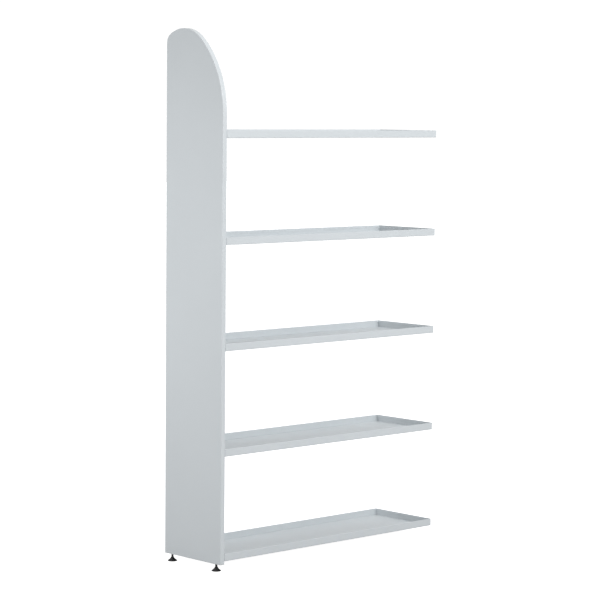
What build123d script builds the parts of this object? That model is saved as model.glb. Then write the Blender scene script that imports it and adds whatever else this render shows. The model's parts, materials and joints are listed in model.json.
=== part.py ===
from build123d import *
import os
from math import hypot, sqrt

# Add-on bay of gondola shelving: a hollow sheet-steel end panel with a swept-back crown
# stands on two levelling feet and carries the left ends of five tray shelves. The right
# ends are free: they sit on the clips of the next bay's upright.
# Millimetres, +Z up, -Y is the shop front, +X runs along the shelves away from the panel.
# Origin: on the floor, under the middle of the bay's outline.

os.makedirs("parts", exist_ok=True)

# ---------------------------------------------------------------- driving dimensions
# Bay
bay_length = 1000.0         # panel's inner face to the free ends of the shelves
panel_depth = 285.0
panel_height = 1770.0       # underside to the top of the crown
panel_thickness = 17.0
foot_height = 24.0          # floor to the panel's underside
shelf_count = 5

# Crown of the panel: three arcs, each tangent to the next
sweep_radius = 330.0
crown_radius = 132.0
rear_corner_radius = 35.0
crown_from_rear = 84.0      # highest point, from the rear edge
bottom_corner_radius = 3.0

# Skins of the panel
skin_sheet = 1.0
skin_bend = 1.6             # outside radius of the folded edge
skin_gap = 0.3              # between the slotted skin and the folded edge around it

# Uprights inside the panel
upright_sheet = 1.5
upright_width = 36.0
upright_bend = 2.5
upright_inset = 30.0        # centre line, from the panel's front or rear edge
upright_top_gap = 12.0      # below the skin

# Slot rows
slot_inset = 40.0           # row's centre line, from the panel's front or rear edge
slot_pitch = 25.0
slot_width = 3.0
slot_height = 10.0
spare_slots = 2             # left free above the top shelf
slot_end_margin = 10.0      # from the last slot to the upright's end

# Rails between the uprights
rail_sheet = 1.2
rail_height = 40.0
rail_count = 3
crown_rail_drop = 125.0     # crown rail's centre below the top of the crown
crown_rail_margin = 14.0    # clear of the folded edge

# Base plate and feet
base_plate_sheet = 3.0
thread_diameter = 8.0
thread_clearance = 0.05     # radial, between stud and bush
bush_length = 16.0
bush_clearance = 0.25       # between the bush and the sheets around it
bush_spigot = 10.0
skin_hole_clearance = 0.5   # radial, around the stud
stud_top = 60.0             # above the floor
hex_across_flats = 10.0
hex_height = 3.0
foot_base_diameter = 32.0
foot_base_height = 10.5
foot_rim_height = 2.4
foot_neck_diameter = 13.5
socket_floor = 4.0
spigot_diameter = 10.0
socket_clearance = 0.1
snap_depth = 0.4
snap_height = 1.6
snap_level = 6.5            # middle of the snap ring above the floor

# Tray shelves
lowest_shelf = 10.0         # underside of the lowest shelf above the panel's underside
shelf_setback = 2.5         # behind the panel's front edge, and in from its rear edge
shelf_end_gap = 3.0         # between the panel and the shelf
tray_sheet = 1.0
tray_height = 25.0
tray_bend = 2.0
tray_corner = 2.0
hem_depth = 9.0

# Shelf clips
clip_sheet = 2.0
clip_width = 20.0
ledge_length = 22.0
hook_rise = 3.0             # lowest slot's bottom edge above the shelf's underside
hook_neck = 4.0
hook_drop = 5.0
hook_play = 0.3             # between hook and upright
clip_head = 6.0             # plate above the top hook's seat
lug_diameter = 5.6
lug_height = 3.5
lug_reach = 13.0            # lug's centre from the panel's face
lug_clearance = 0.4         # radial, in the shelf's hole

# Fasteners
screw_diameter = 3.9
screw_length = 8.0
screw_head = 7.6
screw_head_height = 2.2
fastener_clearance = 0.1    # radial
rivet_diameter = 4.0
rivet_head = 7.0
rivet_head_height = 1.2
rivet_tail = 1.5
fastener_offset = 10.0      # off the centre line of an upright or a rail

# ---------------------------------------------------------------- derived places
foot_overhang = max(0.0, (foot_base_diameter - panel_thickness) / 2)
overall_length = foot_overhang + panel_thickness + bay_length
outer_face = foot_overhang - overall_length / 2
inner_face = outer_face + panel_thickness
free_end = inner_face + bay_length
panel_front = -panel_depth / 2
panel_rear = panel_depth / 2
panel_bottom = foot_height
panel_top = panel_bottom + panel_height
cavity_left = outer_face + skin_sheet
cavity_right = inner_face - skin_sheet

crown_centre = (panel_rear - crown_from_rear, panel_top - crown_radius)
sweep_y = panel_front + sweep_radius
sweep_drop = sqrt((sweep_radius - crown_radius) ** 2 - (sweep_y - crown_centre[0]) ** 2)
sweep_centre = (sweep_y, crown_centre[1] - sweep_drop)
corner_y = panel_rear - rear_corner_radius
corner_rise = sqrt((crown_radius - rear_corner_radius) ** 2 - (corner_y - crown_centre[0]) ** 2)
corner_centre = (corner_y, crown_centre[1] + corner_rise)

front_line = panel_front + upright_inset
rear_line = panel_rear - upright_inset
front_slots = panel_front + slot_inset
rear_slots = panel_rear - slot_inset
base_top = panel_bottom + skin_sheet + base_plate_sheet
channel_left = cavity_left
web_left = cavity_right - upright_sheet


def sweep_height(y):
    """Height of the panel's front sweep at a distance y."""
    return sweep_centre[1] + sqrt(sweep_radius**2 - (sweep_centre[0] - y) ** 2)


def sweep_front(z):
    """Y of the panel's front sweep at a height z."""
    return sweep_centre[0] - sqrt(sweep_radius**2 - (z - sweep_centre[1]) ** 2)


front_upright_top = sweep_height(front_line - upright_width / 2) - upright_top_gap
corner_reach = rear_line + upright_width / 2 - corner_centre[0]
rear_curve_top = corner_centre[1] + sqrt(rear_corner_radius**2 - max(0.0, corner_reach) ** 2)
rear_upright_top = rear_curve_top - upright_top_gap

lowest_underside = panel_bottom + lowest_shelf
first_slot = lowest_underside + hook_rise
slot_room = front_upright_top - slot_end_margin - first_slot
slot_count = int(slot_room / slot_pitch)
slots_between_shelves = (slot_count - 2 - spare_slots) // (shelf_count - 1)
shelf_pitch = slots_between_shelves * slot_pitch
shelf_undersides = [lowest_underside + shelf_pitch * n for n in range(shelf_count)]
slot_middles = [first_slot + slot_height / 2 + slot_pitch * n for n in range(slot_count)]

rail_step = (front_upright_top - base_top) / (rail_count + 1)
rail_middles = [base_top + rail_step * (n + 1) for n in range(rail_count)]
crown_rail_middle = panel_top - crown_rail_drop
rail_front = front_line + upright_width / 2
rail_rear = rear_line - upright_width / 2
crown_rail_front = sweep_front(crown_rail_middle + rail_height / 2) + crown_rail_margin

stud_x = (outer_face + inner_face) / 2
rivet_x = (cavity_left + web_left) / 2
tray_left = inner_face + shelf_end_gap
tray_front = panel_front + shelf_setback
tray_length = free_end - tray_left
tray_depth = panel_depth - 2 * shelf_setback
lug_line = clip_width / 2 - clip_sheet / 2    # lug's centre beside the slot row
lug_ys = [front_slots + lug_line, rear_slots - lug_line]
lug_xs = [inner_face + lug_reach, free_end - (lug_reach - shelf_end_gap)]

# Fixings of the slotted skin, as (y, z)
rail_screws = [(y, z) for z in rail_middles for y in (-rail_height, rail_height)]
crown_screw = [((crown_rail_front + rail_rear) / 2, crown_rail_middle)]
screw_from_end = 1.5 * slot_pitch
front_screws = [
    (front_line - fastener_offset, base_top + screw_from_end),
    (front_line - fastener_offset, front_upright_top - screw_from_end),
]
rear_screws = [
    (rear_line + fastener_offset, base_top + screw_from_end),
    (rear_line + fastener_offset, rear_upright_top - screw_from_end),
]
all_screws = rail_screws + crown_screw + front_screws + rear_screws


def save(part, name):
    """Labels a finished piece and writes its STEP file."""
    part.label = name
    export_step(part, f"parts/{name}.step")


def along(centre, towards, reach):
    """Point at a distance reach from centre, on the line through another point."""
    away = (towards[0] - centre[0], towards[1] - centre[1])
    scale = reach / hypot(*away)
    return (centre[0] + away[0] * scale, centre[1] + away[1] * scale)


# ---------------------------------------------------------------- end panel
def panel_outline(x, inset):
    """The panel's side view, inset all round, as a sketch at a distance x."""
    front = panel_front + inset
    rear = panel_rear - inset
    bottom = panel_bottom + inset
    sweep_end = along(sweep_centre, crown_centre, sweep_radius - inset)
    crown_end = along(crown_centre, corner_centre, crown_radius - inset)
    with BuildSketch(Plane.YZ.offset(x)) as outline:
        with BuildLine():
            front_edge = Line((front, bottom), (front, sweep_centre[1]))
            sweep = TangentArc(front_edge @ 1, sweep_end, tangent=front_edge % 1)
            crown = TangentArc(sweep @ 1, crown_end, tangent=sweep % 1)
            corner = TangentArc(crown @ 1, (rear, corner_centre[1]), tangent=crown % 1)
            Polyline(corner @ 1, (rear, bottom), front_edge @ 0)
        make_face()
        bottom_corners = outline.vertices().group_by(Axis.Y)[0]
        fillet(bottom_corners, bottom_corner_radius - inset)
    return outline.sketch


casing_outline = panel_outline(outer_face, 0)
cavity_outline = panel_outline(cavity_left, skin_sheet)
lid_outline = panel_outline(cavity_right, skin_sheet + skin_gap)

with BuildPart() as outer_skin:
    extrude(casing_outline, amount=panel_thickness)
    fillet(outer_skin.faces().sort_by(Axis.X)[0].edges(), skin_bend)
    extrude(cavity_outline, amount=panel_thickness, mode=Mode.SUBTRACT)
    inside = outer_skin.faces().filter_by(Plane.YZ).sort_by(Axis.X)[1]
    fillet(inside.edges(), skin_bend - skin_sheet)
    with BuildSketch(Plane.XY.offset(panel_bottom)):
        with Locations((stud_x, front_line), (stud_x, rear_line)):
            Circle(thread_diameter / 2 + skin_hole_clearance)
    extrude(amount=skin_sheet, mode=Mode.SUBTRACT)
save(outer_skin.part, "outer_skin")

slot_places = [(y, z) for y in (front_slots, rear_slots) for z in slot_middles]
with BuildPart() as slotted_skin:
    extrude(lid_outline, amount=skin_sheet)
    with BuildSketch(Plane.YZ.offset(cavity_right)):
        with Locations(*slot_places):
            Rectangle(slot_width, slot_height)
        with Locations(*all_screws):
            Circle(screw_diameter / 2 + fastener_clearance)
    extrude(amount=skin_sheet, mode=Mode.SUBTRACT)
save(slotted_skin.part, "slotted_skin")


def make_upright(name, centre_y, slot_y, top, screws, flange_y, rivet_zs):
    """Slotted channel: its web lies behind the slotted skin, its flanges reach the outer skin."""
    with BuildPart() as upright:
        with BuildSketch(Plane.XY.offset(base_top)):
            with Locations(((channel_left + cavity_right) / 2, centre_y)):
                Rectangle(cavity_right - channel_left, upright_width)
        extrude(amount=top - base_top)
        fillet(upright.faces().sort_by(Axis.X)[-1].edges().filter_by(Axis.Z), upright_bend)
        with BuildSketch(Plane.XY.offset(base_top)):
            with Locations(((channel_left + web_left) / 2, centre_y)):
                Rectangle(web_left - channel_left, upright_width - 2 * upright_sheet)
        extrude(amount=top - base_top, mode=Mode.SUBTRACT)
        hollow = upright.faces().filter_by(Plane.YZ).sort_by(Axis.X)[-2]
        fillet(hollow.edges().filter_by(Axis.Z), upright_bend - upright_sheet)
        with BuildSketch(Plane.YZ.offset(web_left)):
            with Locations(*[(slot_y, z) for z in slot_middles]):
                Rectangle(slot_width, slot_height)
            with Locations(*screws):
                Circle(screw_diameter / 2 + fastener_clearance / 2)
        extrude(amount=upright_sheet, mode=Mode.SUBTRACT)
        with BuildSketch(Plane.XZ.offset(-flange_y)):
            with Locations(*[(rivet_x, z) for z in rivet_zs]):
                Circle(rivet_diameter / 2 + fastener_clearance / 2)
        extrude(amount=upright_sheet, both=True, mode=Mode.SUBTRACT)
    save(upright.part, name)


rivet_offsets = (-fastener_offset, fastener_offset)
rail_rivet_zs = [z + step for z in rail_middles for step in rivet_offsets]
crown_rivet_zs = [crown_rail_middle + step for step in rivet_offsets]
make_upright(
    "front_upright",
    front_line,
    front_slots,
    front_upright_top,
    front_screws,
    rail_front,
    rail_rivet_zs,
)
make_upright(
    "rear_upright",
    rear_line,
    rear_slots,
    rear_upright_top,
    rear_screws,
    rail_rear,
    rail_rivet_zs + crown_rivet_zs,
)


def make_rail(name, front, rear, middle, screws, riveted_ends):
    """Shallow pan across the panel: its web backs the slotted skin, its ends turn in for rivets."""
    length = rear - front
    with BuildPart() as rail:
        with BuildSketch(Plane.YZ.offset(cavity_left)):
            with Locations(((front + rear) / 2, middle)):
                Rectangle(length, rail_height)
        extrude(amount=cavity_right - cavity_left)
        offset(amount=-rail_sheet, openings=rail.faces().sort_by(Axis.X)[0])
        with BuildSketch(Plane.YZ.offset(cavity_right)):
            with Locations(*screws):
                Circle(screw_diameter / 2 + fastener_clearance / 2)
        extrude(amount=-rail_sheet, mode=Mode.SUBTRACT)
        for end in riveted_ends:
            with BuildSketch(Plane.XZ.offset(-end)):
                with Locations(*[(rivet_x, middle + step) for step in rivet_offsets]):
                    Circle(rivet_diameter / 2 + fastener_clearance / 2)
            extrude(amount=rail_sheet, both=True, mode=Mode.SUBTRACT)
    save(rail.part, name)


rail_names = ["lower_rail", "middle_rail", "upper_rail"]
for name, middle in zip(rail_names, rail_middles):
    screws = [place for place in rail_screws if place[1] == middle]
    make_rail(name, rail_front, rail_rear, middle, screws, (rail_front, rail_rear))
make_rail(
    "crown_rail", crown_rail_front, rail_rear, crown_rail_middle, crown_screw, (rail_rear,)
)

plate_left = cavity_left + skin_bend - skin_sheet
plate_size = (cavity_right - plate_left, panel_depth - 2 * (skin_sheet + bottom_corner_radius))
with BuildPart() as base_plate:
    with BuildSketch(Plane.XY.offset(panel_bottom + skin_sheet)):
        with Locations(((plate_left + cavity_right) / 2, 0)):
            Rectangle(*plate_size)
        with Locations((stud_x, front_line), (stud_x, rear_line)):
            Circle(bush_spigot / 2, mode=Mode.SUBTRACT)
    extrude(amount=base_plate_sheet)
save(base_plate.part, "base_plate")

# ---------------------------------------------------------------- fasteners
with BuildPart() as skin_screws:
    with BuildSketch(Plane.YZ.offset(inner_face)):
        with Locations(*all_screws):
            Circle(screw_head / 2)
    extrude(amount=screw_head_height)
    head_rims = skin_screws.faces().filter_by(Plane.YZ).group_by(Axis.X)[-1].edges()
    fillet(head_rims, screw_head_height * 0.7)
    with BuildSketch(Plane.YZ.offset(inner_face)):
        with Locations(*all_screws):
            Circle(screw_diameter / 2)
    extrude(amount=-screw_length)
save(skin_screws.part, "skin_screws")


rivet_rows = [
    (rail_front, 1, rail_rivet_zs),
    (rail_rear, -1, rail_rivet_zs + crown_rivet_zs),
]
with BuildPart() as rail_rivets:
    for face_y, towards, zs in rivet_rows:
        places = [(rivet_x, z) for z in zs]
        head_y = face_y + towards * rail_sheet
        tail_y = face_y - towards * upright_sheet
        with BuildSketch(Plane.XZ.offset(-head_y)):
            with Locations(*places):
                Circle(rivet_head / 2)
        extrude(amount=-towards * rivet_head_height)
        with BuildSketch(Plane.XZ.offset(-head_y)):
            with Locations(*places):
                Circle(rivet_diameter / 2)
        extrude(amount=towards * (rail_sheet + upright_sheet + rivet_tail))
        with BuildSketch(Plane.XZ.offset(-tail_y)):
            with Locations(*places):
                Circle(rivet_head / 2 - rivet_tail / 2)
        extrude(amount=towards * rivet_tail)
save(rail_rivets.part, "rail_rivets")


# ---------------------------------------------------------------- feet
def make_foot(name, y):
    """One levelling foot: a threaded bush in the panel, a stud, and a base that the stud turns in."""
    bore = thread_diameter / 2 + thread_clearance
    body_radius = (web_left - channel_left) / 2 - bush_clearance
    with BuildPart() as bush:
        with BuildSketch(Plane.XY.offset(base_top)):
            with Locations(((channel_left + web_left) / 2, y)):
                Circle(body_radius)
        extrude(amount=bush_length)
        chamfer(bush.faces().sort_by(Axis.Z)[-1].edges(), upright_sheet / 2)
        with BuildSketch(Plane.XY.offset(base_top)):
            with Locations((stud_x, y)):
                Circle(bush_spigot / 2)
        extrude(amount=-base_plate_sheet)
        with BuildSketch(Plane.XY.offset(base_top - base_plate_sheet)):
            with Locations((stud_x, y)):
                Circle(bore)
        extrude(amount=base_plate_sheet + bush_length, mode=Mode.SUBTRACT)
    save(bush.part, f"{name}_bush")

    spigot = spigot_diameter / 2
    stud_bottom = socket_floor + socket_clearance
    hex_bottom = foot_base_height + 3 * socket_clearance
    groove_bottom = snap_level - snap_height / 2
    with BuildPart() as stud:
        with BuildSketch(Plane.XY.offset(stud_bottom)):
            with Locations((stud_x, y)):
                Circle(spigot)
        extrude(amount=hex_bottom - stud_bottom)
        with BuildSketch(Plane.XY.offset(groove_bottom)):
            with Locations((stud_x, y)):
                Circle(spigot)
                Circle(spigot - snap_depth, mode=Mode.SUBTRACT)
        extrude(amount=snap_height, mode=Mode.SUBTRACT)
        with BuildSketch(Plane.XY.offset(hex_bottom)):
            with Locations((stud_x, y)):
                RegularPolygon(hex_across_flats / 2, 6, major_radius=False)
        extrude(amount=hex_height)
        with BuildSketch(Plane.XY.offset(hex_bottom + hex_height)):
            with Locations((stud_x, y)):
                Circle(thread_diameter / 2)
        extrude(amount=stud_top - hex_bottom - hex_height)
        chamfer(stud.faces().sort_by(Axis.Z)[-1].edges(), thread_diameter / 10)
    save(stud.part, f"{name}_stud")

    outer = foot_base_diameter / 2
    neck = foot_neck_diameter / 2
    with BuildPart() as base:
        with BuildSketch(Plane((stud_x, y, 0), x_dir=(1, 0, 0), z_dir=(0, -1, 0))):
            with BuildLine():
                rim = Polyline((0, 0), (outer, 0), (outer, foot_rim_height))
                flank = TangentArc(rim @ 1, (neck, foot_base_height), tangent=(-1, 0.6))
                Polyline(flank @ 1, (0, foot_base_height), (0, 0))
            make_face()
        revolve(axis=Axis((stud_x, y, 0), (0, 0, 1)))
        fillet(base.edges().filter_by(GeomType.CIRCLE).sort_by(Axis.Z)[0], 0.8)
        with BuildSketch(Plane.XY.offset(socket_floor)):
            with Locations((stud_x, y)):
                Circle(spigot + socket_clearance)
        extrude(amount=foot_base_height - socket_floor, mode=Mode.SUBTRACT)
        with BuildSketch(Plane.XY.offset(groove_bottom + socket_clearance)):
            with Locations((stud_x, y)):
                Circle(spigot + 2 * socket_clearance)
                Circle(spigot - snap_depth + socket_clearance, mode=Mode.SUBTRACT)
        extrude(amount=snap_height - 2 * socket_clearance)
    save(base.part, f"{name}_base")


make_foot("front_foot", front_line)
make_foot("rear_foot", rear_line)


# ---------------------------------------------------------------- shelves and clips
def make_tray(name, underside):
    """Tray shelf: one pressed sheet with upturned rims, their top edges folded in as a hem."""
    middle = (tray_left + tray_length / 2, tray_front + tray_depth / 2)
    inner_size = (tray_length - 2 * tray_sheet, tray_depth - 2 * tray_sheet)
    hem_size = (inner_size[0] - 2 * tray_sheet, inner_size[1] - 2 * tray_sheet)
    rim_top = underside + tray_height
    with BuildPart() as tray:
        with BuildSketch(Plane.XY.offset(underside)):
            with Locations(middle):
                RectangleRounded(tray_length, tray_depth, tray_corner)
        extrude(amount=tray_height)
        fillet(tray.faces().sort_by(Axis.Z)[0].edges(), tray_bend * 0.99)
        with BuildSketch(Plane.XY.offset(underside + tray_sheet)):
            with Locations(middle):
                RectangleRounded(*inner_size, tray_corner - tray_sheet)
        extrude(amount=tray_height, mode=Mode.SUBTRACT)
        floor_top = tray.faces().filter_by(Plane.XY).group_by(Axis.Z)[1]
        fillet(floor_top.edges(), (tray_bend - tray_sheet) * 0.98)
        with BuildSketch(Plane.XY.offset(rim_top)):
            with Locations(middle):
                RectangleRounded(*inner_size, tray_corner - tray_sheet)
                RectangleRounded(*hem_size, tray_sheet, mode=Mode.SUBTRACT)
        extrude(amount=-hem_depth)
        fillet(tray.faces().sort_by(Axis.Z)[-1].edges(), tray_sheet * 0.9)
        with BuildSketch(Plane.XY.offset(underside)):
            with Locations(*[(x, y) for x in lug_xs for y in lug_ys]):
                Circle(lug_diameter / 2 + lug_clearance)
        extrude(amount=tray_sheet, mode=Mode.SUBTRACT)
    save(tray.part, name)


def make_clip(name, slot_y, towards, seat):
    """Shelf clip: a plate on the panel, a ledge with a lug under the shelf, two hooks behind."""
    middle_y = slot_y + towards * lug_line
    plate_top = hook_rise + slot_pitch + hook_neck + clip_head
    neck_end = -(skin_sheet + upright_sheet + hook_play)
    with BuildPart() as clip:
        corner = (inner_face, middle_y, seat)
        with BuildSketch(Plane(corner, x_dir=(1, 0, 0), z_dir=(0, -1, 0))):
            with BuildLine():
                Polyline(
                    (0, -clip_sheet),
                    (ledge_length, -clip_sheet),
                    (ledge_length, 0),
                    (clip_sheet, 0),
                    (clip_sheet, plate_top),
                    (0, plate_top),
                    close=True,
                )
            make_face()
        extrude(amount=clip_width / 2, both=True)
        outer_bend = clip.edges().filter_by(Axis.Y).group_by(Axis.Z)[0].sort_by(Axis.X)[0]
        fillet(outer_bend, clip_sheet)
        fillet(clip.edges().filter_by(Axis.X).group_by(Axis.Z)[-1], clip_width / 5)
        fillet(clip.edges().filter_by(Axis.Z).group_by(Axis.X)[-1], clip_width / 4)
        for hook_seat in (hook_rise, hook_rise + slot_pitch):
            slot_foot = (inner_face, slot_y, seat + hook_seat)
            with BuildSketch(Plane(slot_foot, x_dir=(1, 0, 0), z_dir=(0, -1, 0))):
                with BuildLine():
                    Polyline(
                        (clip_sheet / 2, 0),
                        (neck_end, 0),
                        (neck_end, -hook_drop),
                        (neck_end - clip_sheet, -hook_drop + clip_sheet / 2),
                        (neck_end - clip_sheet, hook_neck - clip_sheet / 2),
                        (neck_end - clip_sheet / 2, hook_neck),
                        (clip_sheet / 2, hook_neck),
                        close=True,
                    )
                make_face()
            extrude(amount=clip_sheet / 2, both=True)
        with BuildSketch(Plane.XY.offset(seat - clip_sheet / 2)):
            with Locations((inner_face + lug_reach, middle_y)):
                Circle(lug_diameter / 2)
        extrude(amount=clip_sheet / 2 + lug_height)
        lug_top = clip.edges().filter_by(GeomType.CIRCLE).filter_by(
            lambda edge: abs(edge.center().Z - seat - lug_height) < lug_clearance / 10
        )
        chamfer(lug_top, lug_height / 6)
    save(clip.part, name)


for number, underside in enumerate(shelf_undersides, start=1):
    make_tray(f"shelf_{number}_tray", underside)
    make_clip(f"shelf_{number}_front_clip", front_slots, 1, underside)
    make_clip(f"shelf_{number}_rear_clip", rear_slots, -1, underside)
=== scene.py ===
import json
import math

import bmesh
import bpy
from mathutils import Matrix, Vector


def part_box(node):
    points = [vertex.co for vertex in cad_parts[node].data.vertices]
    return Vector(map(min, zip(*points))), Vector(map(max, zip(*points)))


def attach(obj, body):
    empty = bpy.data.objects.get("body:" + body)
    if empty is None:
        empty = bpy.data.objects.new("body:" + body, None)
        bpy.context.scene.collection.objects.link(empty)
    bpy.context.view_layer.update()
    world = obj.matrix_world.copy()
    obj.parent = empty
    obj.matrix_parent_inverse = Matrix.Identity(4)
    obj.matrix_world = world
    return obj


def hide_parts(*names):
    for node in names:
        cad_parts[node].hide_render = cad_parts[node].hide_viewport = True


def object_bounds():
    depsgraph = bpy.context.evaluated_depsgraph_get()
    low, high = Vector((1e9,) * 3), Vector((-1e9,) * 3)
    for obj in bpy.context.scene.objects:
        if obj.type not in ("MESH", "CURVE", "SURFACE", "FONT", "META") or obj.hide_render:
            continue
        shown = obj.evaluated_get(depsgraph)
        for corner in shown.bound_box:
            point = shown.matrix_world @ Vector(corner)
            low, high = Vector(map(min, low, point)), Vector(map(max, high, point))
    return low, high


# Looks of an add-on bay of gondola shelving: a swept end panel of folded sheet steel,
# five tray shelves hooked on it, and two levelling feet. Metres, in the frame of the CAD part.

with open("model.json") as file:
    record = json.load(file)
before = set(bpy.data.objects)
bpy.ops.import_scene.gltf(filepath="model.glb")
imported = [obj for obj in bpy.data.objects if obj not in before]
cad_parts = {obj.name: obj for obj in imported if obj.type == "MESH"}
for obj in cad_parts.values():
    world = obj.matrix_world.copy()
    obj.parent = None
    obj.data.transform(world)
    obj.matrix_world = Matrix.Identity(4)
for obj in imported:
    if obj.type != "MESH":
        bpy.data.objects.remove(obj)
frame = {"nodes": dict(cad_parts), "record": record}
cad_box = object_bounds()

MM = 0.001
TOUCH = 0.001 * MM              # closer than this is the same place
NODES = frame["nodes"]

# ---------------------------------------------------------------- sizes
# Panel skins
SHEET = 1.0 * MM
SKIN_BEND = 1.6 * MM
CAVITY_BEND = 0.6 * MM
CUT_EDGE = 0.2 * MM             # softening that the paint gives a cut edge
BOTTOM_CORNER = 3.0 * MM
SWEEP_RADIUS = 330.0 * MM
CROWN_RADIUS = 132.0 * MM
REAR_CORNER_RADIUS = 35.0 * MM
CROWN_FROM_REAR = 84.0 * MM
STUD_HOLE = 4.5 * MM            # radius
ARC_STEPS = (28, 30, 14)        # sweep, crown, rear corner

# Trays
TRAY_BEND = 1.98 * MM
TRAY_CORNER = 2.0 * MM
RIM_ROUND = 0.92 * MM
HEM_WIDTH = 2.0 * MM
HEM_DEPTH = 9.0 * MM
HEM_GAP = 0.15 * MM
FLOOR_BEND = 0.98 * MM
LUG_HOLE = 3.2 * MM             # radius
LUG_REACH = 13.0 * MM           # from the panel's inner face

# Screws that hold the slotted skin
SCREW_SHANK = 1.95 * MM
SCREW_TIP = 0.9 * MM
SCREW_HEAD_RADIUS = 3.8 * MM
CROSS_LENGTH = 4.6 * MM
CROSS_WIDTH = 1.0 * MM
CROSS_DEPTH = 1.5 * MM

# Feet
THREAD_PITCH = 1.25 * MM
THREAD_DEPTH = 0.62 * MM
THREAD_RADIUS = 4.0 * MM
THREAD_ROWS = 7                 # rings of points in each pitch
POINT_CHAMFER = 0.8 * MM
HEX_RADIUS = 10.0 * MM / math.sqrt(3)
HEX_BOTTOM = 10.8 * MM
HEX_TOP = 13.8 * MM
SPIGOT_RADIUS = 5.0 * MM
SPIGOT_BOTTOM = 4.1 * MM
SOCKET_RADIUS = 5.1 * MM
SOCKET_FLOOR = 4.0 * MM
BASE_RADIUS = 16.0 * MM
BASE_TOP = 10.5 * MM
RIM_TOP = 2.4 * MM
NECK_RADIUS = 6.75 * MM
FOOT_EDGE = 0.8 * MM
RIM_ROUNDING = 0.4 * MM
NECK_ROUNDING = 0.5 * MM
SOCKET_LEAD = 0.3 * MM
FLANK_NORMAL = (0.6, 1.0)       # at the rim, as (outward, up)

# Camera and light
CAMERA_LENS = 134.9
CAMERA_YAW = math.radians(43.47)
CAMERA_PITCH = math.radians(4.85)
CAMERA_ROLL = math.radians(0.515)
CAMERA_PLACE = (-5.366, -5.642, 1.530)
DOME_LOW = 0.05
DOME_HIGH = 1.02
BACKDROP_WHITE = 1.05

panel_low, panel_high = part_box("outer_skin")
outer_face = panel_low.x
inner_face = panel_high.x
stud_x = (outer_face + inner_face) / 2


# ---------------------------------------------------------------- modelling helpers
def begin(name):
    """Names the primitive that was just added, and opens it for editing in place."""
    piece = bpy.context.object
    piece.name = name
    piece.data.name = name
    bpy.ops.object.transform_apply(location=True, rotation=True, scale=True)
    bpy.ops.object.mode_set(mode="EDIT")
    bpy.ops.mesh.select_mode(type="VERT")
    return piece


def clear():
    """Deselects everything before a primitive is added."""
    bpy.ops.object.select_all(action="DESELECT")


def pick(piece, kind, wanted):
    """In edit mode, selects the verts, edges or faces that wanted() accepts, and nothing else."""
    bpy.ops.mesh.select_mode(type={"verts": "VERT", "edges": "EDGE", "faces": "FACE"}[kind])
    bpy.ops.mesh.select_all(action="DESELECT")
    shape = bmesh.from_edit_mesh(piece.data)
    for element in getattr(shape, kind):
        if wanted(element):
            element.select_set(True)
    bmesh.update_edit_mesh(piece.data)


def ends_at(axis, value):
    """A test for edges whose two ends are both at a value of an axis."""
    return lambda edge: all(abs(vert.co[axis] - value) < TOUCH for vert in edge.verts)


def face_at(axis, value):
    """A test for faces that lie flat at a value of an axis."""
    return lambda face: all(abs(vert.co[axis] - value) < TOUCH for vert in face.verts)


def push(x=0.0, y=0.0, z=0.0):
    """Extrudes the selected faces by a distance."""
    bpy.ops.mesh.extrude_region_move(TRANSFORM_OT_translate={"value": (x, y, z)})


def step_in(size, by):
    """Extrudes the selected face in its own plane, to an outline smaller by a distance."""
    bpy.ops.mesh.extrude_region_move()
    scale = [(length - 2 * by) / length for length in size]
    bpy.ops.transform.resize(value=(scale[0], scale[1], 1))
    return tuple(length - 2 * by for length in size)


def soften(piece, wanted, radius, segments):
    """Rounds the edges that wanted() accepts."""
    pick(piece, "edges", wanted)
    bpy.ops.mesh.bevel(offset=radius, segments=segments, clamp_overlap=False)


def close_up(piece):
    """Leaves edit mode with doubles merged and every face pointing outwards."""
    bpy.ops.mesh.select_all(action="SELECT")
    bpy.ops.mesh.remove_doubles(threshold=TOUCH)
    bpy.ops.mesh.normals_make_consistent(inside=False)
    bpy.ops.object.mode_set(mode="OBJECT")


def carve(piece, tool, operation="DIFFERENCE"):
    """Cuts a tool out of a piece, or joins it on, and removes the tool."""
    clear()
    bpy.context.view_layer.objects.active = piece
    piece.select_set(True)
    bpy.ops.object.modifier_add(type="BOOLEAN")
    modifier = piece.modifiers[-1]
    modifier.operation = operation
    modifier.object = tool
    bpy.ops.object.modifier_apply(modifier=modifier.name)
    bpy.data.objects.remove(tool)


def shade(piece, angle=35):
    """Smooth bends beside flat faces that stay flat."""
    clear()
    bpy.context.view_layer.objects.active = piece
    piece.select_set(True)
    bpy.ops.object.shade_smooth_by_angle(angle=math.radians(angle))
    bpy.ops.object.modifier_add(type="WEIGHTED_NORMAL")
    piece.modifiers[-1].keep_sharp = True
    bpy.ops.object.modifier_apply(modifier=piece.modifiers[-1].name)


def place(piece, body, slot, material, *nodes):
    """Paints a finished piece, and fixes it to its body in place of CAD nodes."""
    piece.data.materials.clear()
    piece.data.materials.append(material)
    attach(piece, body)
    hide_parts(*nodes)


def copy_of(piece, name, offset):
    """A copy with its own mesh, moved by an offset."""
    twin = piece.copy()
    twin.data = piece.data.copy()
    twin.name = name
    twin.data.name = name
    twin.data.transform(Matrix.Translation(offset))
    bpy.context.collection.objects.link(twin)
    return twin


def trace(points):
    """Extrudes the selected vertex through a run of points."""
    at = points[0]
    for point in points[1:]:
        bpy.ops.mesh.extrude_vertices_move(TRANSFORM_OT_translate={"value": point - at})
        at = point


def start_at(name, point):
    """A new mesh with a single vertex, selected."""
    clear()
    bpy.ops.mesh.primitive_plane_add(size=MM, location=point)
    piece = begin(name)
    bpy.ops.mesh.merge(type="CENTER")
    return piece


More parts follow.
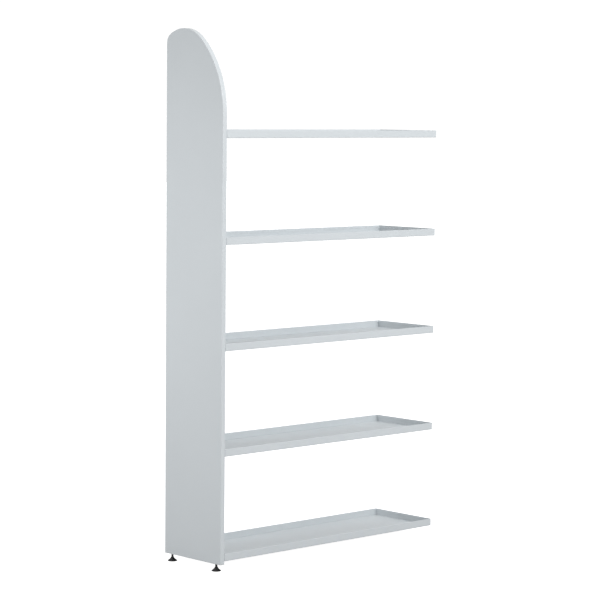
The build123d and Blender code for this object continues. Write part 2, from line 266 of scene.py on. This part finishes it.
# ---------------------------------------------------------------- shader helpers
def put(tree, kind, inputs=None, **settings):
    """Adds a node. inputs gives a value, or the socket that feeds it, for each named input."""
    node = tree.nodes.new("ShaderNode" + kind)
    for name, value in settings.items():
        setattr(node, name, value)
    for socket, value in (inputs or {}).items():
        if isinstance(value, bpy.types.NodeSocket):
            tree.links.new(value, node.inputs[socket])
        else:
            node.inputs[socket].default_value = value
    return node


def effect(name, inputs, outputs):
    """A shader node group with named inputs and outputs, ready to be filled."""
    tree = bpy.data.node_groups.new(name, "ShaderNodeTree")
    for label, kind, value in inputs:
        socket = tree.interface.new_socket(name=label, in_out="INPUT", socket_type=kind)
        socket.default_value = value
    for label, kind in outputs:
        tree.interface.new_socket(name=label, in_out="OUTPUT", socket_type=kind)
    return tree, tree.nodes.new("NodeGroupInput").outputs, tree.nodes.new("NodeGroupOutput").inputs


def use(tree, group, inputs):
    """Places a shared effect in a material with its own values."""
    return put(tree, "Group", inputs, node_tree=group).outputs


def maths(tree, operation, *values):
    """A maths node on one or more values or sockets."""
    return put(tree, "Math", dict(enumerate(values)), operation=operation).outputs[0]


def spread(tree, value, low, high, new_low, new_high):
    """Maps a value from one range to another."""
    inputs = {0: value, 1: low, 2: high, 3: new_low, 4: new_high}
    return put(tree, "MapRange", inputs).outputs[0]


def blend_colours(tree, share, first, second):
    """A colour between two, by a share that changes over the surface."""
    inputs = {"Factor": share, 6: first, 7: second}
    return put(tree, "Mix", inputs, data_type="RGBA").outputs[2]


def noise_at(tree, size, detail=2.0, vector=None):
    """Noise on object coordinates, with blotches of a size."""
    if vector is None:
        vector = put(tree, "TexCoord").outputs["Object"]
    inputs = {"Vector": vector, "Scale": maths(tree, "DIVIDE", 1.0, size), "Detail": detail}
    return put(tree, "TexNoise", inputs).outputs[0]


# ---------------------------------------------------------------- shared effects
def make_tone_drift():
    """A colour that drifts a little lighter and darker over the surface."""
    inputs = [
        ("Color", "NodeSocketColor", (0.5, 0.5, 0.5, 1)),
        ("Size", "NodeSocketFloat", 0.2),
        ("Amount", "NodeSocketFloat", 0.02),
    ]
    tree, given, result = effect("tone_drift", inputs, [("Color", "NodeSocketColor")])
    noise = noise_at(tree, given["Size"], 3.0)
    swing = maths(tree, "MULTIPLY", spread(tree, noise, 0.3, 0.7, -1.0, 1.0), given["Amount"])
    factor = maths(tree, "ADD", swing, 1.0)
    tinted = put(tree, "VectorMath", {0: given["Color"], "Scale": factor}, operation="SCALE")
    tree.links.new(tinted.outputs[0], result["Color"])
    return tree


def make_coat_relief():
    """Orange peel of a sprayed coat: fine grain on slow ripples, as a height."""
    inputs = [("Grain", "NodeSocketFloat", 0.0008), ("Ripple", "NodeSocketFloat", 0.004)]
    tree, given, result = effect("coat_relief", inputs, [("Height", "NodeSocketFloat")])
    grain = noise_at(tree, given["Grain"], 1.0)
    ripple = noise_at(tree, given["Ripple"], 1.0)
    height = maths(tree, "ADD", maths(tree, "MULTIPLY", grain, 0.35), ripple)
    tree.links.new(height, result["Height"])
    return tree


def make_edge_rub_and_highlight():
    """A mask along the outer edges, broken up in patches: handling wear on the zinc, black steel and plastic,
    and a painted highlight on the powder coat.
    """
    inputs = [
        ("Radius", "NodeSocketFloat", 0.0008),
        ("Break-up", "NodeSocketFloat", 0.02),
        ("Amount", "NodeSocketFloat", 0.5),
    ]
    tree, given, result = effect("edge_rub_and_highlight", inputs, [("Mask", "NodeSocketFloat")])
    rounded = put(tree, "Bevel", {"Radius": given["Radius"]}, samples=4).outputs[0]
    flat = put(tree, "NewGeometry").outputs["Normal"]
    agreement = put(tree, "VectorMath", {0: rounded, 1: flat}, operation="DOT_PRODUCT")
    edge = spread(tree, agreement.outputs["Value"], 0.995, 0.85, 0.0, 1.0)
    patches = spread(tree, noise_at(tree, given["Break-up"], 3.0), 0.4, 0.62, 0.0, 1.0)
    mask = maths(tree, "MULTIPLY", maths(tree, "MULTIPLY", edge, patches), given["Amount"])
    tree.links.new(mask, result["Mask"])
    return tree


def make_settled_dust():
    """A mask of thin dust on what faces up, in soft patches."""
    inputs = [("Size", "NodeSocketFloat", 0.08), ("Amount", "NodeSocketFloat", 0.2)]
    tree, given, result = effect("settled_dust", inputs, [("Mask", "NodeSocketFloat")])
    normal = put(tree, "NewGeometry").outputs["Normal"]
    up = put(tree, "SeparateXYZ", {0: normal}).outputs["Z"]
    facing = spread(tree, up, 0.6, 1.0, 0.0, 1.0)
    patches = spread(tree, noise_at(tree, given["Size"], 4.0), 0.35, 0.7, 0.2, 1.0)
    mask = maths(tree, "MULTIPLY", maths(tree, "MULTIPLY", facing, patches), given["Amount"])
    tree.links.new(mask, result["Mask"])
    return tree


def make_drawn_grain():
    """Fine lines left along a sheet by rolling or drawing, as a value."""
    inputs = [("Width", "NodeSocketFloat", 0.0004), ("Stretch", "NodeSocketVector", (1, 1, 0.03))]
    tree, given, result = effect("drawn_grain", inputs, [("Value", "NodeSocketFloat")])
    spot = put(tree, "TexCoord").outputs["Object"]
    stretched = put(tree, "VectorMath", {0: spot, 1: given["Stretch"]}, operation="MULTIPLY")
    lines = noise_at(tree, given["Width"], 3.0, stretched.outputs[0])
    tree.links.new(lines, result["Value"])
    return tree


def make_spangle():
    """Crystals of a galvanised coat: each one its own grey, with soft borders."""
    inputs = [("Size", "NodeSocketFloat", 0.006)]
    outputs = [("Value", "NodeSocketFloat"), ("Border", "NodeSocketFloat")]
    tree, given, result = effect("spangle", inputs, outputs)
    spot = put(tree, "TexCoord").outputs["Object"]
    jitter = put(tree, "TexNoise", {"Vector": spot, "Scale": 400.0, "Detail": 1.0}).outputs[1]
    bent = put(tree, "VectorMath", {0: jitter, "Scale": 0.0016}, operation="SCALE").outputs[0]
    moved = put(tree, "VectorMath", {0: spot, 1: bent}, operation="ADD").outputs[0]
    scale = maths(tree, "DIVIDE", 1.0, given["Size"])
    cells = put(tree, "TexVoronoi", {"Vector": moved, "Scale": scale})
    grey = put(tree, "SeparateXYZ", {0: cells.outputs["Color"]}).outputs["X"]
    tree.links.new(grey, result["Value"])
    edges = put(tree, "TexVoronoi", {"Vector": moved, "Scale": scale}, feature="DISTANCE_TO_EDGE")
    border = spread(tree, edges.outputs["Distance"], 0.0, 0.12, 1.0, 0.0)
    tree.links.new(border, result["Border"])
    return tree


tone_drift = make_tone_drift()
coat_relief = make_coat_relief()
edge_rub_and_highlight = make_edge_rub_and_highlight()
settled_dust = make_settled_dust()
drawn_grain = make_drawn_grain()
spangle = make_spangle()


# ---------------------------------------------------------------- materials
def begin_material(name, metallic, roughness):
    """A material with a Principled shader whose uniform values are set."""
    material = bpy.data.materials.new(name)
    material.use_nodes = True
    tree = material.node_tree
    shader = tree.nodes["Principled BSDF"]
    shader.inputs["Metallic"].default_value = metallic
    shader.inputs["Roughness"].default_value = roughness
    return material, tree, shader.inputs


def raise_bumps(tree, sockets, height, distance, strength):
    """Feeds a height to the shader's normal."""
    inputs = {"Height": height, "Distance": distance, "Strength": strength}
    bump = put(tree, "Bump", inputs)
    tree.links.new(bump.outputs[0], sockets["Normal"])


def make_powder_coat():
    """Cool light-grey powder coat, satin, with orange peel, and a painted highlight: its folds and edges
    painted a lighter grey.
    """
    material, tree, shader = begin_material("grey_powder_coat", 0.0, 0.3)
    grey = (0.615, 0.652, 0.675, 1)
    base = use(tree, tone_drift, {"Color": grey, "Size": 0.35, "Amount": 0.012})["Color"]
    # Painted highlight: the outer edges and bends are blended towards a lighter grey (0.76, 0.78, 0.79),
    # standing in for the light they catch.
    rub_and_highlight = use(tree, edge_rub_and_highlight, {"Radius": 0.0007, "Break-up": 0.03, "Amount": 0.35})["Mask"]
    base = blend_colours(tree, rub_and_highlight, base, (0.76, 0.78, 0.79, 1))
    dust = use(tree, settled_dust, {"Size": 0.09, "Amount": 0.10})["Mask"]
    base = blend_colours(tree, dust, base, (0.63, 0.63, 0.61, 1))
    tree.links.new(base, shader["Base Color"])
    gloss = spread(tree, noise_at(tree, 0.05, 4.0), 0.3, 0.7, 0.3, 0.36)
    gloss = maths(tree, "ADD", gloss, maths(tree, "MULTIPLY", dust, 0.5))
    tree.links.new(gloss, shader["Roughness"])
    peel = use(tree, coat_relief, {"Grain": 0.0009, "Ripple": 0.0045})["Height"]
    raise_bumps(tree, shader, peel, 0.00006, 0.35)
    return material


def make_galvanised():
    """Dull galvanised sheet with small spangles and rolling lines."""
    material, tree, shader = begin_material("galvanised_steel", 1.0, 0.4)
    cells = use(tree, spangle, {"Size": 0.007})
    tone = spread(tree, cells["Value"], 0.0, 1.0, 0.0, 1.0)
    base = blend_colours(tree, tone, (0.46, 0.48, 0.50, 1), (0.66, 0.68, 0.69, 1))
    lines = use(tree, drawn_grain, {"Width": 0.0006})["Value"]
    base = blend_colours(tree, spread(tree, lines, 0.45, 0.7, 0.0, 0.35), base, (0.36, 0.37, 0.38, 1))
    tree.links.new(base, shader["Base Color"])
    tree.links.new(spread(tree, cells["Value"], 0.0, 1.0, 0.34, 0.52), shader["Roughness"])
    height = maths(tree, "SUBTRACT", maths(tree, "MULTIPLY", lines, 0.4), cells["Border"])
    raise_bumps(tree, shader, height, 0.00003, 0.4)
    return material


def make_zinc():
    """Bright zinc plate with a faint blue cast and tumbling marks."""
    material, tree, shader = begin_material("zinc_plated_steel", 1.0, 0.3)
    cloud = spread(tree, noise_at(tree, 0.012, 4.0), 0.35, 0.65, 0.0, 1.0)
    base = blend_colours(tree, cloud, (0.60, 0.63, 0.68, 1), (0.74, 0.74, 0.72, 1))
    rub_and_highlight = use(tree, edge_rub_and_highlight, {"Radius": 0.0005, "Break-up": 0.006, "Amount": 0.6})["Mask"]
    base = blend_colours(tree, rub_and_highlight, base, (0.85, 0.85, 0.84, 1))
    tree.links.new(base, shader["Base Color"])
    lines = use(tree, drawn_grain, {"Width": 0.0003, "Stretch": (1.0, 0.1, 1.0)})["Value"]
    tree.links.new(spread(tree, lines, 0.35, 0.65, 0.22, 0.36), shader["Roughness"])
    raise_bumps(tree, shader, lines, 0.00002, 0.3)
    return material


def make_black_zinc():
    """Black passivated steel, satin, rubbed to bare metal on its edges."""
    material, tree, shader = begin_material("black_zinc_steel", 0.0, 0.34)
    base = use(tree, tone_drift, {"Color": (0.01, 0.01, 0.011, 1), "Size": 0.006, "Amount": 0.25})
    rub_and_highlight = use(tree, edge_rub_and_highlight, {"Radius": 0.0004, "Break-up": 0.004, "Amount": 0.3})["Mask"]
    base = blend_colours(tree, rub_and_highlight, base["Color"], (0.12, 0.117, 0.113, 1))
    tree.links.new(base, shader["Base Color"])
    tree.links.new(maths(tree, "MULTIPLY", rub_and_highlight, 0.8), shader["Metallic"])
    gloss = spread(tree, noise_at(tree, 0.003, 3.0), 0.3, 0.7, 0.28, 0.44)
    tree.links.new(gloss, shader["Roughness"])
    relief = use(tree, coat_relief, {"Grain": 0.0003, "Ripple": 0.0015})["Height"]
    raise_bumps(tree, shader, relief, 0.00002, 0.3)
    return material


def make_black_plastic():
    """Moulded black nylon with a fine eroded texture and scuffed rims."""
    material, tree, shader = begin_material("black_plastic", 0.0, 0.45)
    base = use(tree, tone_drift, {"Color": (0.005, 0.005, 0.0055, 1), "Size": 0.01, "Amount": 0.2})
    scuff = use(tree, edge_rub_and_highlight, {"Radius": 0.0006, "Break-up": 0.003, "Amount": 0.3})["Mask"]
    base = blend_colours(tree, scuff, base["Color"], (0.03, 0.03, 0.03, 1))
    dust = use(tree, settled_dust, {"Size": 0.01, "Amount": 0.03})["Mask"]
    base = blend_colours(tree, dust, base, (0.35, 0.34, 0.32, 1))
    tree.links.new(base, shader["Base Color"])
    tree.links.new(spread(tree, scuff, 0.0, 1.0, 0.5, 0.62), shader["Roughness"])
    erosion = use(tree, coat_relief, {"Grain": 0.00025, "Ripple": 0.0007})["Height"]
    raise_bumps(tree, shader, erosion, 0.00004, 0.5)
    return material


powder_coat = make_powder_coat()
galvanised = make_galvanised()
zinc = make_zinc()
black_zinc = make_black_zinc()
black_plastic = make_black_plastic()


# ---------------------------------------------------------------- end panel
def between(start, end):
    """Angle of the line between two points of the panel's side view."""
    return math.atan2(end[1] - start[1], end[0] - start[0])


def post(name, x, y, z, radius, height):
    """A round tool that stands on a point."""
    clear()
    where = (x, y, z + height / 2)
    bpy.ops.mesh.primitive_cylinder_add(vertices=48, radius=radius, depth=height, location=where)
    piece = begin(name)
    bpy.ops.object.mode_set(mode="OBJECT")
    return piece


def draw_panel_outline():
    """The outer skin's outline as a flat face: straight front, sweep, crown, rear corner, straight rear."""
    crown = (panel_high.y - CROWN_FROM_REAR, panel_high.z - CROWN_RADIUS)
    sweep_y = panel_low.y + SWEEP_RADIUS
    reach = SWEEP_RADIUS - CROWN_RADIUS
    sweep = (sweep_y, crown[1] - math.sqrt(reach**2 - (sweep_y - crown[0]) ** 2))
    corner_y = panel_high.y - REAR_CORNER_RADIUS
    reach = CROWN_RADIUS - REAR_CORNER_RADIUS
    corner = (corner_y, crown[1] + math.sqrt(reach**2 - (corner_y - crown[0]) ** 2))
    foot = Vector((outer_face, panel_low.y, panel_low.z))
    skin = start_at("end_panel_skin", foot)
    trace([foot, Vector((outer_face, panel_low.y, sweep[1]))])
    directions = [math.pi, between(sweep, crown), between(crown, corner), 0.0]
    arcs = zip((sweep, crown, corner), directions, directions[1:], ARC_STEPS)
    for centre, first, last, steps in arcs:
        middle = (outer_face, centre[0], centre[1])
        bpy.ops.mesh.spin(steps=steps, angle=first - last, center=middle, axis=(1, 0, 0))
    top = Vector((outer_face, panel_high.y, corner[1]))
    trace([top, Vector((outer_face, panel_high.y, panel_low.z))])
    bpy.ops.mesh.select_all(action="SELECT")
    bpy.ops.mesh.remove_doubles(threshold=TOUCH)
    bpy.ops.mesh.edge_face_add()
    pick(skin, "verts", lambda vert: vert.co.z < panel_low.z + TOUCH)
    bpy.ops.mesh.bevel(offset=BOTTOM_CORNER, segments=5, affect="VERTICES")
    return skin


def drill_stud_holes(skin):
    """Holes in the skin's bottom edge, one for each foot's stud."""
    for node in ("front_foot_stud", "rear_foot_stud"):
        low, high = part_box(node)
        middle_y = (low.y + high.y) / 2
        hole = post("hole", stud_x, middle_y, panel_low.z - SHEET, STUD_HOLE, 3 * SHEET)
        carve(skin, hole)


def build_panel_skin():
    """Outer skin: one sheet, its edge folded in all round the swept outline."""
    skin = draw_panel_outline()
    bpy.ops.mesh.select_all(action="SELECT")
    push(x=inner_face - outer_face)
    bpy.ops.mesh.select_mode(type="FACE")
    pick(skin, "faces", face_at(0, inner_face))
    bpy.ops.mesh.inset(thickness=SHEET)
    push(x=outer_face + SHEET - inner_face)
    soften(skin, ends_at(0, outer_face), SKIN_BEND, 6)
    soften(skin, ends_at(0, outer_face + SHEET), CAVITY_BEND, 3)
    soften(skin, ends_at(0, inner_face), CUT_EDGE, 2)
    close_up(skin)
    drill_stud_holes(skin)
    shade(skin)
    place(skin, "end_panel", "grey_powder_coat", powder_coat, "outer_skin")


def screw_places():
    """Centres of the screw heads on the slotted skin, as (y, z)."""
    centres = []
    for vert in NODES["skin_screws"].data.vertices:
        if vert.co.x > inner_face + TOUCH:
            near = [group for group in centres if (group[0] - vert.co).length < 2.1 * SCREW_HEAD_RADIUS]
            if near:
                near[0].append(vert.co)
            else:
                centres.append([vert.co])
    middles = []
    for group in centres:
        spans = [[point[axis] for point in group] for axis in (1, 2)]
        middles.append([(min(span) + max(span)) / 2 for span in spans])
    return sorted(middles, key=lambda middle: (middle[1], middle[0]))


def build_cross(x, y, z):
    """The tapered tool that leaves a cross recess in a screw head."""
    tools = []
    for turn in (0, math.pi / 2):
        clear()
        where = (x - CROSS_DEPTH / 2, y, z)
        bpy.ops.mesh.primitive_cube_add(size=1, location=where)
        bpy.context.object.scale = (CROSS_DEPTH, CROSS_LENGTH, CROSS_WIDTH)
        bpy.context.object.rotation_euler = (turn, 0, 0)
        tool = begin("cross")
        pick(tool, "faces", lambda face: face.normal.x < -0.9)
        bpy.ops.transform.resize(value=(1, 0.45, 0.45))
        bpy.ops.object.mode_set(mode="OBJECT")
        tools.append(tool)
    carve(tools[0], tools[1], "UNION")
    return tools[0]


def build_screws():
    """Pan-head screws with a cross recess, one for each hole of the slotted skin."""
    low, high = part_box("skin_screws")
    head_height = high.x - inner_face
    y, z = screw_places()[0]
    clear()
    middle = ((inner_face + high.x) / 2, y, z)
    bpy.ops.mesh.primitive_cylinder_add(
        vertices=40, radius=SCREW_HEAD_RADIUS, depth=head_height, location=middle, rotation=(0, math.pi / 2, 0)
    )
    screw = begin("skin_screw_1")
    pick(screw, "faces", lambda face: face.normal.x < -0.9)
    bpy.ops.mesh.inset(thickness=SCREW_HEAD_RADIUS - SCREW_SHANK)
    push(x=low.x - inner_face + SCREW_TIP)
    bpy.ops.mesh.extrude_region_move(TRANSFORM_OT_translate={"value": (-SCREW_TIP, 0, 0)})
    bpy.ops.transform.resize(value=(1, 0.3, 0.3))
    soften(screw, ends_at(0, high.x), head_height * 0.62, 7)
    close_up(screw)
    carve(screw, build_cross(high.x, y, z))
    shade(screw, 40)
    screws = [screw]
    for number, (next_y, next_z) in enumerate(screw_places()[1:], start=2):
        screws.append(copy_of(screw, f"skin_screw_{number}", (0, next_y - y, next_z - z)))
    for piece in screws:
        place(piece, "end_panel", "zinc_plated_steel", zinc, "skin_screws")


# ---------------------------------------------------------------- shelves
def build_tray(number):
    """Tray shelf: floor, upturned rims, and the hem that folds their top edges in."""
    low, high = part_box(f"shelf_{number}_tray")
    size = (high.x - low.x, high.y - low.y)
    floor_top = low.z + SHEET
    clear()
    bpy.ops.mesh.primitive_plane_add(size=1, location=((low.x + high.x) / 2, (low.y + high.y) / 2, low.z))
    bpy.context.object.scale = (size[0], size[1], 1)
    tray = begin(f"shelf_{number}")
    bpy.ops.mesh.bevel(offset=TRAY_CORNER, segments=6, affect="VERTICES")
    bpy.ops.mesh.select_all(action="SELECT")
    push(z=high.z - low.z)
    pick(tray, "faces", face_at(2, high.z))
    inside = step_in(size, HEM_WIDTH)
    push(z=-HEM_DEPTH)
    inside = step_in(inside, HEM_GAP - HEM_WIDTH + SHEET)
    push(z=HEM_DEPTH - 2 * SHEET)
    inside = step_in(inside, -HEM_GAP)
    push(z=floor_top - high.z + 2 * SHEET)
    soften(tray, ends_at(2, low.z), TRAY_BEND, 6)
    soften(tray, ends_at(2, high.z), RIM_ROUND, 6)
    soften(tray, ends_at(2, high.z - HEM_DEPTH), CUT_EDGE, 2)
    soften(tray, ends_at(2, floor_top), FLOOR_BEND, 4)
    close_up(tray)
    for hole_x, hole_y in lug_places(number):
        carve(tray, post("hole", hole_x, hole_y, low.z - SHEET, LUG_HOLE, 3 * SHEET))
    shade(tray)
    return tray


def lug_places(number):
    """Holes in a shelf's floor: over its own clips' lugs, and over the next bay's at its free end."""
    low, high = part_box(f"shelf_{number}_tray")
    places = []
    for end in ("front", "rear"):
        clip_low, clip_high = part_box(f"shelf_{number}_{end}_clip")
        middle = (clip_low.y + clip_high.y) / 2
        places.append((inner_face + LUG_REACH, middle))
        places.append((high.x - LUG_REACH + (low.x - inner_face), middle))
    return places


def build_shelves():
    """Five trays: the lowest is modelled, the others are copies of it."""
    lowest = build_tray(1)
    lowest_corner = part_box("shelf_1_tray")[0]
    trays = [lowest]
    for number in range(2, 6):
        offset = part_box(f"shelf_{number}_tray")[0] - lowest_corner
        trays.append(copy_of(lowest, f"shelf_{number}", offset))
    for number, tray in enumerate(trays, start=1):
        place(tray, f"shelf_{number}", "grey_powder_coat", powder_coat, f"shelf_{number}_tray")


# ---------------------------------------------------------------- feet
def flank_points(steps=10):
    """The base's concave flank: an arc that leaves the rim nearly flat and climbs to the neck."""
    start = Vector((BASE_RADIUS - RIM_ROUNDING, RIM_TOP))
    end = Vector((NECK_RADIUS, BASE_TOP - NECK_ROUNDING))
    to_centre = Vector(FLANK_NORMAL).normalized()
    chord = end - start
    radius = chord.length_squared / (2 * to_centre.dot(chord))
    centre = start + to_centre * radius
    first = math.atan2(start.y - centre.y, start.x - centre.x)
    turn = 2 * math.asin(chord.length / (2 * radius))
    angles = [first - turn * step / steps for step in range(steps + 1)]
    return [
        (centre.x + radius * math.cos(angle), centre.y + radius * math.sin(angle)) for angle in angles
    ]


def build_foot_base(end, y):
    """Moulded base: flared dome with a rolled rim, a collar, and the stud's socket."""
    axis = Vector((stud_x, y, 0))
    profile = [(0, 0), (BASE_RADIUS - FOOT_EDGE, 0), (BASE_RADIUS, FOOT_EDGE)]
    profile += [(BASE_RADIUS, RIM_TOP - RIM_ROUNDING)] + flank_points()
    profile += [(NECK_RADIUS - NECK_ROUNDING, BASE_TOP), (SOCKET_RADIUS + SOCKET_LEAD, BASE_TOP)]
    profile += [(SOCKET_RADIUS, BASE_TOP - SOCKET_LEAD), (SOCKET_RADIUS, SOCKET_FLOOR), (0, SOCKET_FLOOR)]
    points = [axis + Vector((radius, 0, height)) for radius, height in profile]
    base = start_at(f"{end}_foot_cup", points[0])
    trace(points)
    bpy.ops.mesh.select_all(action="SELECT")
    bpy.ops.mesh.spin(steps=72, angle=2 * math.pi, center=axis, axis=(0, 0, 1))
    close_up(base)
    shade(base, 32)
    place(base, f"{end}_foot_base", "black_plastic", black_plastic, f"{end}_foot_base")


def cut_thread(rod, y, bottom, top):
    """Moves the rod's surface in along a right-handed helix, fading out at both ends."""
    for vert in rod.data.vertices:
        away = Vector((vert.co.x - stud_x, vert.co.y - y))
        if away.length < THREAD_RADIUS / 2:
            continue
        turn = math.atan2(away.y, away.x) / (2 * math.pi)
        phase = (vert.co.z / THREAD_PITCH - turn) % 1.0
        groove = min(1.0, max(0.0, 1.25 - 2.5 * abs(phase - 0.5)))
        from_ends = min(vert.co.z - bottom, top - vert.co.z)
        fade = min(1.0, max(0.0, from_ends / THREAD_PITCH))
        radius = THREAD_RADIUS - THREAD_DEPTH * groove * fade
        if vert.co.z > top - TOUCH:
            radius -= POINT_CHAMFER
        vert.co.x = stud_x + away.x / away.length * radius
        vert.co.y = y + away.y / away.length * radius


def build_foot_stud(end, y):
    """Stud: snap-in spigot, hexagon for the spanner, and an M8 thread."""
    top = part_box(f"{end}_foot_stud")[1].z
    bottom = HEX_TOP - MM
    rod = post(f"{end}_foot_screw", stud_x, y, bottom, THREAD_RADIUS, top - bottom)
    bpy.ops.object.mode_set(mode="EDIT")
    pick(rod, "edges", lambda edge: abs(edge.verts[0].co.z - edge.verts[1].co.z) > MM)
    bpy.ops.mesh.subdivide(number_cuts=round((top - bottom) / THREAD_PITCH * THREAD_ROWS))
    close_up(rod)
    cut_thread(rod, y, HEX_TOP, top)
    spigot = post("spigot", stud_x, y, SPIGOT_BOTTOM, SPIGOT_RADIUS, HEX_BOTTOM + MM - SPIGOT_BOTTOM)
    clear()
    middle = (stud_x, y, (HEX_BOTTOM + HEX_TOP) / 2)
    height = HEX_TOP - HEX_BOTTOM
    bpy.ops.mesh.primitive_cylinder_add(vertices=6, radius=HEX_RADIUS, depth=height, location=middle)
    nut = begin("hexagon")
    soften(nut, lambda edge: abs(edge.verts[0].co.z - edge.verts[1].co.z) > MM, 0.25 * MM, 2)
    soften(nut, lambda edge: abs(edge.verts[0].co.z - edge.verts[1].co.z) < TOUCH, 0.3 * MM, 3)
    close_up(nut)
    carve(rod, nut, "UNION")
    carve(rod, spigot, "UNION")
    bpy.ops.object.mode_set(mode="EDIT")
    bpy.ops.mesh.select_all(action="SELECT")
    bpy.ops.mesh.dissolve_degenerate(threshold=TOUCH)
    bpy.ops.object.mode_set(mode="OBJECT")
    shade(rod, 30)
    place(rod, f"{end}_foot_stud", "black_zinc_steel", black_zinc, f"{end}_foot_stud")


def build_feet():
    """Both levelling feet."""
    for end in ("front", "rear"):
        low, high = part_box(f"{end}_foot_base")
        middle_y = (low.y + high.y) / 2
        build_foot_base(end, middle_y)
        build_foot_stud(end, middle_y)


# ---------------------------------------------------------------- carried-over pieces
def finish_carried_pieces():
    """Gives each CAD piece that stays its finish, by the material it is made of."""
    finishes = {
        "grey_powder_coat": powder_coat,
        "galvanised_steel": galvanised,
        "zinc_plated_steel": zinc,
        "black_zinc_steel": black_zinc,
        "black_plastic": black_plastic,
    }
    for row in frame["record"]["subparts"]:
        node = NODES[row["node"]]
        node.data.materials.clear()
        node.data.materials.append(finishes[row["material_slot"]])


# ---------------------------------------------------------------- studio
def build_floor():
    """A pale sweep under the part, lit evenly enough to vanish into the backdrop."""
    clear()
    bpy.ops.mesh.primitive_plane_add(size=60, location=(0, 0, cad_box[0][2] - 0.1 * MM))
    floor = bpy.context.object
    floor.name = "studio_floor"
    material = bpy.data.materials.new("studio_floor")
    material.use_nodes = True
    tree = material.node_tree
    shader = tree.nodes["Principled BSDF"].inputs
    shader["Base Color"].default_value = (0.42, 0.42, 0.42, 1)
    shader["Roughness"].default_value = 0.9
    shader["Specular IOR Level"].default_value = 0.0
    shader["Emission Color"].default_value = (1, 1, 1, 1)
    seen = put(tree, "LightPath").outputs["Is Camera Ray"]
    tree.links.new(seen, shader["Emission Strength"])
    floor.data.materials.append(material)


def build_backdrop_light():
    """World: white where the camera looks, and a soft dome that lights the part."""
    world = bpy.data.worlds.new("studio")
    bpy.context.scene.world = world
    world.use_nodes = True
    tree = world.node_tree
    back = tree.nodes["Background"]
    direction = put(tree, "TexCoord").outputs["Generated"]
    height = put(tree, "SeparateXYZ", {0: direction}).outputs["Z"]
    dome = spread(tree, height, -0.2, 0.9, DOME_LOW, DOME_HIGH)
    seen = put(tree, "LightPath").outputs["Is Camera Ray"]
    level = put(tree, "Mix", {0: seen, 2: dome, 3: BACKDROP_WHITE}, data_type="FLOAT").outputs[0]
    tree.links.new(level, back.inputs["Strength"])
    back.inputs["Color"].default_value = (1, 1, 1, 1)


def add_softbox(name, spot, target, size, power):
    """A rectangular soft light that faces a point."""
    light = bpy.data.lights.new(name, "AREA")
    light.shape = "RECTANGLE"
    light.size, light.size_y = size
    light.energy = power
    lamp = bpy.data.objects.new(name, light)
    bpy.context.collection.objects.link(lamp)
    lamp.location = spot
    lamp.rotation_euler = (Vector(target) - Vector(spot)).to_track_quat("-Z", "Y").to_euler()


def add_camera():
    """The camera, low and to the left, level with the upper shelves."""
    camera = bpy.data.objects.new("camera", bpy.data.cameras.new("camera"))
    bpy.context.collection.objects.link(camera)
    camera.data.sensor_width = 36
    camera.data.lens = CAMERA_LENS
    camera.data.clip_end = 200
    turn = Matrix.Rotation(-CAMERA_YAW, 4, "Z") @ Matrix.Rotation(math.pi / 2 - CAMERA_PITCH, 4, "X")
    camera.matrix_world = (
        Matrix.Translation(CAMERA_PLACE) @ turn @ Matrix.Rotation(CAMERA_ROLL, 4, "Z")
    )
    bpy.context.scene.camera = camera


build_panel_skin()
build_screws()
build_shelves()
build_feet()
finish_carried_pieces()
build_floor()
build_backdrop_light()
add_softbox("front_box", (0.6, -3.2, 2.4), (0.2, 0, 1.2), (2.4, 2.0), 68)
add_softbox("front_fill_box", (-1.2, -3.4, 2.9), (0, 0, 1.0), (2.4, 2.0), 19)
add_softbox("left_box", (-2.1, 0.35, 1.1), (-0.5, 0, 1.1), (0.7, 0.9), 13)
add_camera()
bpy.context.scene.view_settings.view_transform = "Standard"
